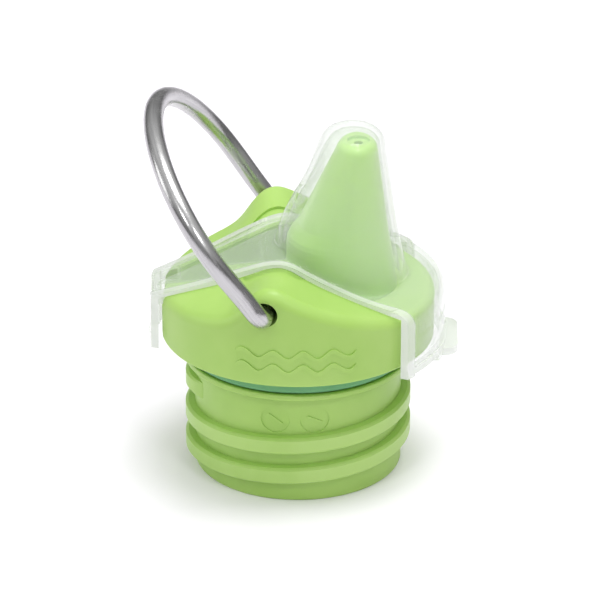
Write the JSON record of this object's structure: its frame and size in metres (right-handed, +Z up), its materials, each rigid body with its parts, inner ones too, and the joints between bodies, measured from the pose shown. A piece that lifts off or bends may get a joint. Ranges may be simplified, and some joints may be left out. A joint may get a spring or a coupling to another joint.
{
  "type": "sippy flask cap",
  "caption": "Screw-in sippy cap for a narrow-mouth drinking flask: threaded plug, two ears, swinging wire bail, soft spout and a clear pull-off dust cover.",
  "frame": {"origin": "centre of the plug's bottom rim, on the thread axis", "axes": "+Z up along the thread axis to the spout, +X to the drinking side and the pull tab, +Y and -Y to the two ears that hold the bail"},
  "size_m": [0.0636, 0.0668, 0.078],
  "materials": {
    "body_plastic": "satin moulded polypropylene",
    "gasket_rubber": "matte silicone",
    "spout_silicone": "soft matte silicone",
    "bail_steel": "brushed",
    "cover_clear": "clear, slightly milky"
  },
  "bodies": {
    "cap": {"cap_body": "body_plastic", "gasket": "gasket_rubber", "spout": "spout_silicone"},
    "bail_handle": {"bail": "bail_steel"},
    "cover": {"dust_cover": "cover_clear"}
  },
  "joints": [
    {"name": "bail_swing", "type": "hinge", "parent": "cap", "child": "bail_handle", "pos_m": [-0.00641, 0, 0.04421], "axis": [0, 1, 0], "range_deg": [-80, 122]},
    {"name": "cover_lift", "type": "slide", "parent": "cap", "child": "cover", "axis": [0, 0, 1], "range_m": [0, 0.034]}
  ]
}
